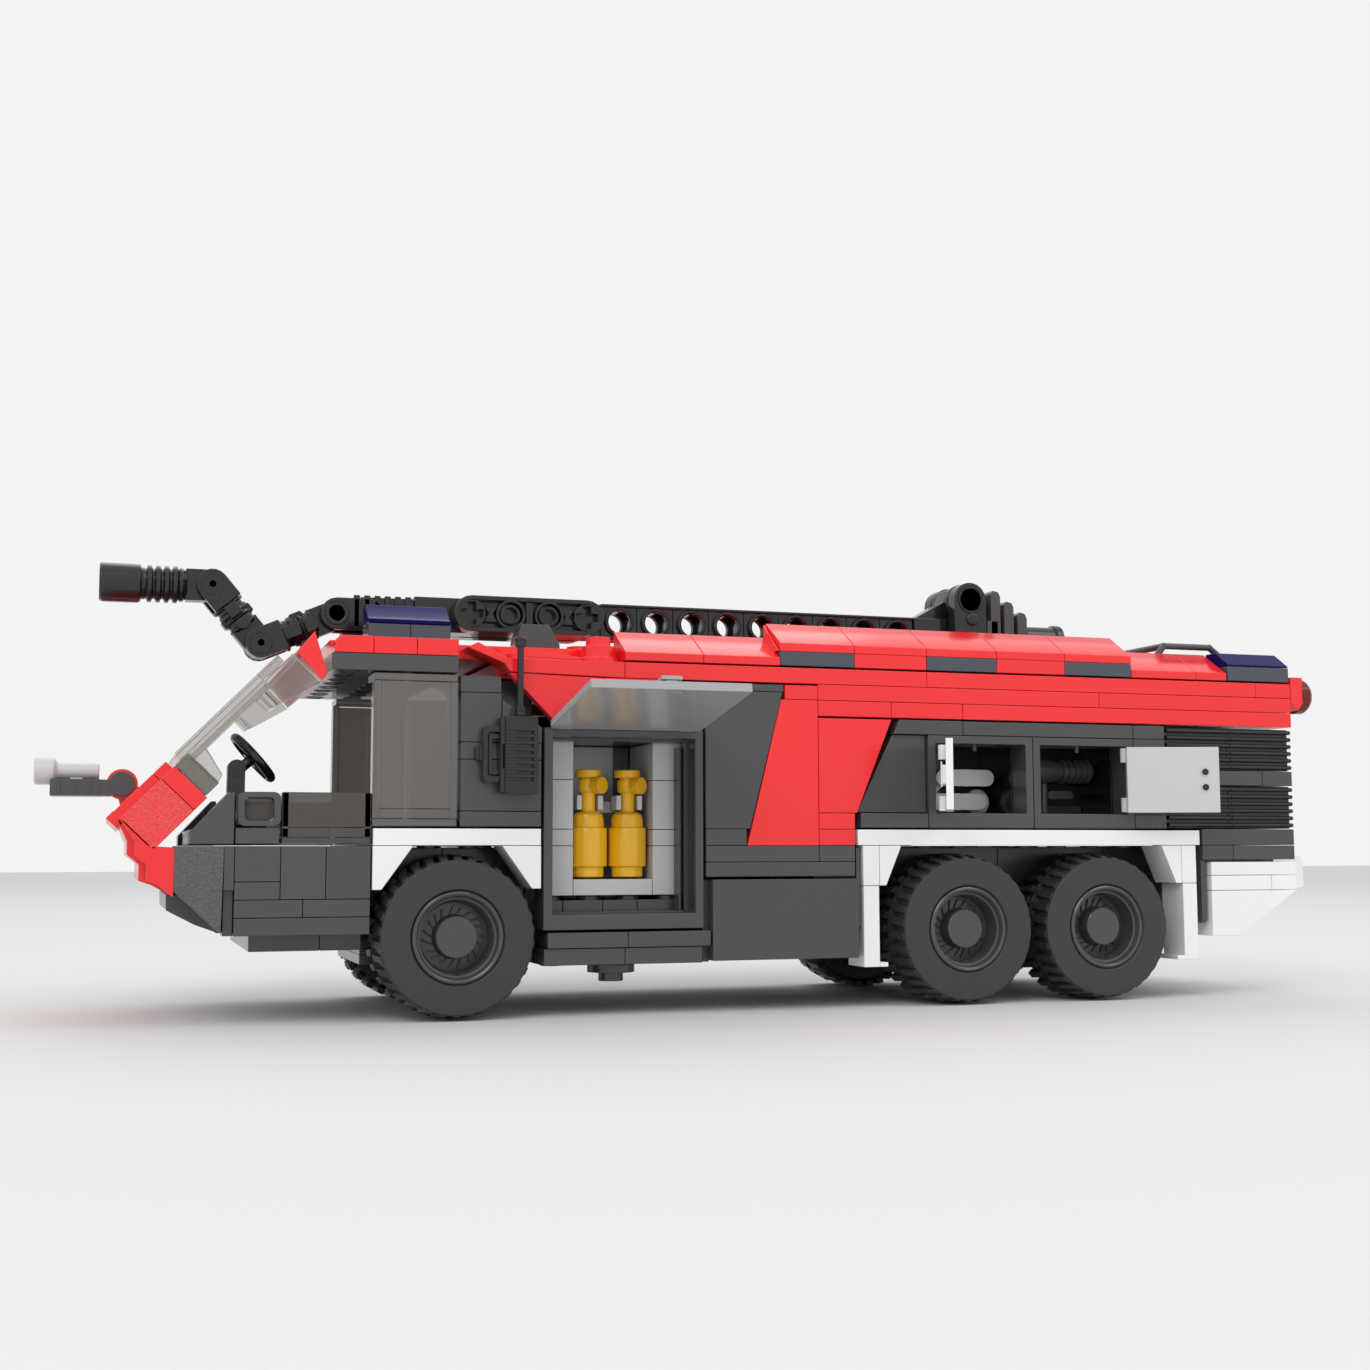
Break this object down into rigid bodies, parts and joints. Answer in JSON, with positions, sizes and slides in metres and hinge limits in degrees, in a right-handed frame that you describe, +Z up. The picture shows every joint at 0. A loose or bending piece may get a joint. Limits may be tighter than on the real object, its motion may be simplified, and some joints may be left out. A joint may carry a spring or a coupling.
{
  "type": "toy airport fire truck",
  "caption": "Building-brick toy airport fire truck with wheels that turn, a jointed roof water boom, a bumper turret and side lockers with hinged doors.",
  "frame": {"origin": "centre of the object's bounding box in X and Y, on the floor under the wheels", "axes": "+X towards the rear of the truck, +Y towards its right-hand side, +Z up"},
  "size_m": [0.2672, 0.1256, 0.0904],
  "materials": {
    "red_plastic": "glossy moulded red",
    "dark_plastic": "glossy moulded dark bluish grey",
    "light_plastic": "glossy moulded light grey",
    "white_plastic": "glossy moulded white",
    "amber_plastic": "glossy moulded amber yellow",
    "smoked_clear": "clear smoked plastic",
    "blue_clear": "clear dark blue plastic",
    "red_clear": "clear dark red plastic",
    "black_rubber": "matt moulded black rubber"
  },
  "bodies": {
    "truck": {"chassis": "dark_plastic", "front_axle": "dark_plastic", "middle_axle": "dark_plastic", "rear_axle": "dark_plastic", "lower_cab": "red_plastic", "nose": "red_plastic", "windscreen": "smoked_clear", "windscreen_cap": "red_plastic", "cab_roof": "red_plastic", "front_beacons": "blue_clear", "rear_beacons": "blue_clear", "side_windows_L": "smoked_clear", "side_windows_R": "smoked_clear", "dashboard": "dark_plastic", "steering_wheel": "dark_plastic", "cab_rear_wall": "dark_plastic", "front_fenders": "white_plastic", "rear_fenders": "white_plastic", "front_lockers": "dark_plastic", "locker_lining": "light_plastic", "extinguishers_L": "amber_plastic", "extinguishers_R": "amber_plastic", "middle_panels": "dark_plastic", "red_panels": "red_plastic", "lower_panels": "dark_plastic", "rear_lockers": "dark_plastic", "locker_tool_L": "light_plastic", "locker_tool_R": "light_plastic", "locker_hose_L": "dark_plastic", "locker_hose_R": "dark_plastic", "upper_body": "red_plastic", "roof": "red_plastic", "rear_body": "dark_plastic", "rear_bumper": "white_plastic", "rear_lamps": "red_clear", "radio_handset": "dark_plastic", "boom_base": "dark_plastic"},
    "wheel_front_L": {"tyre_front_L": "black_rubber", "rim_front_L": "dark_plastic"},
    "wheel_front_R": {"tyre_front_R": "black_rubber", "rim_front_R": "dark_plastic"},
    "wheel_middle_L": {"tyre_middle_L": "black_rubber", "rim_middle_L": "dark_plastic"},
    "wheel_middle_R": {"tyre_middle_R": "black_rubber", "rim_middle_R": "dark_plastic"},
    "wheel_rear_L": {"tyre_rear_L": "black_rubber", "rim_rear_L": "dark_plastic"},
    "wheel_rear_R": {"tyre_rear_R": "black_rubber", "rim_rear_R": "dark_plastic"},
    "boom": {"boom": "dark_plastic"},
    "boom_elbow": {"boom_elbow": "dark_plastic"},
    "boom_neck": {"boom_neck": "dark_plastic"},
    "boom_nozzle": {"boom_nozzle": "dark_plastic"},
    "bumper_turret": {"bumper_turret": "dark_plastic"},
    "hatch_L": {"hatch_L": "light_plastic"},
    "front_door_L": {"front_door_L": "white_plastic"},
    "rear_door_L": {"rear_door_L": "light_plastic"},
    "hatch_R": {"hatch_R": "light_plastic"},
    "front_door_R": {"front_door_R": "white_plastic"},
    "rear_door_R": {"rear_door_R": "light_plastic"}
  },
  "joints": [
    {"name": "wheel_spin_front_L", "type": "hinge", "parent": "truck", "child": "wheel_front_L", "pos_m": [-0.05839, 0, 0.0152], "axis": [0, 1, 0], "continuous": true},
    {"name": "wheel_spin_front_R", "type": "hinge", "parent": "truck", "child": "wheel_front_R", "pos_m": [-0.05839, 0, 0.0152], "axis": [0, 1, 0], "continuous": true},
    {"name": "wheel_spin_middle_L", "type": "hinge", "parent": "truck", "child": "wheel_middle_L", "pos_m": [0.04561, 0, 0.0152], "axis": [0, 1, 0], "continuous": true},
    {"name": "wheel_spin_middle_R", "type": "hinge", "parent": "truck", "child": "wheel_middle_R", "pos_m": [0.04561, 0, 0.0152], "axis": [0, 1, 0], "continuous": true},
    {"name": "wheel_spin_rear_L", "type": "hinge", "parent": "truck", "child": "wheel_rear_L", "pos_m": [0.07761, 0, 0.0152], "axis": [0, 1, 0], "continuous": true},
    {"name": "wheel_spin_rear_R", "type": "hinge", "parent": "truck", "child": "wheel_rear_R", "pos_m": [0.07761, 0, 0.0152], "axis": [0, 1, 0], "continuous": true},
    {"name": "boom_lift", "type": "hinge", "parent": "truck", "child": "boom", "pos_m": [0.06061, 0, 0.0864], "axis": [0, 1, 0], "range_deg": [0, 50]},
    {"name": "boom_elbow_hinge", "type": "hinge", "parent": "boom", "child": "boom_elbow", "pos_m": [-0.07779, 0, 0.0782], "axis": [0, 1, 0], "range_deg": [0, 60]},
    {"name": "boom_neck_hinge", "type": "hinge", "parent": "boom_elbow", "child": "boom_neck", "pos_m": [-0.09239, 0, 0.0718], "axis": [0, 1, 0], "range_deg": [-40, 30]},
    {"name": "nozzle_tilt", "type": "hinge", "parent": "boom_neck", "child": "boom_nozzle", "pos_m": [-0.10177, 0, 0.08298], "axis": [0, 1, 0], "range_deg": [-20, 40]},
    {"name": "turret_tilt", "type": "hinge", "parent": "truck", "child": "bumper_turret", "pos_m": [-0.11751, 0, 0.04388], "axis": [0, 1, 0], "range_deg": [-15, 40]},
    {"name": "hatch_L_hinge", "type": "hinge", "parent": "truck", "child": "hatch_L", "pos_m": [-0.02639, -0.0331, 0.0547], "axis": [1, 0, 0], "range_deg": [0, 100]},
    {"name": "hatch_R_hinge", "type": "hinge", "parent": "truck", "child": "hatch_R", "pos_m": [-0.02639, 0.0331, 0.0547], "axis": [-1, 0, 0], "range_deg": [0, 100]},
    {"name": "front_door_L_hinge", "type": "hinge", "parent": "truck", "child": "front_door_L", "pos_m": [0.04041, -0.0327, 0.0387], "axis": [0, 0, 1], "range_deg": [0, 117]},
    {"name": "rear_door_L_hinge", "type": "hinge", "parent": "truck", "child": "rear_door_L", "pos_m": [0.08281, -0.0327, 0.0387], "axis": [0, 0, -1], "range_deg": [0, 161]},
    {"name": "front_door_R_hinge", "type": "hinge", "parent": "truck", "child": "front_door_R", "pos_m": [0.04041, 0.0327, 0.0387], "axis": [0, 0, -1], "range_deg": [0, 117]},
    {"name": "rear_door_R_hinge", "type": "hinge", "parent": "truck", "child": "rear_door_R", "pos_m": [0.08281, 0.0327, 0.0387], "axis": [0, 0, 1], "range_deg": [0, 161]}
  ]
}
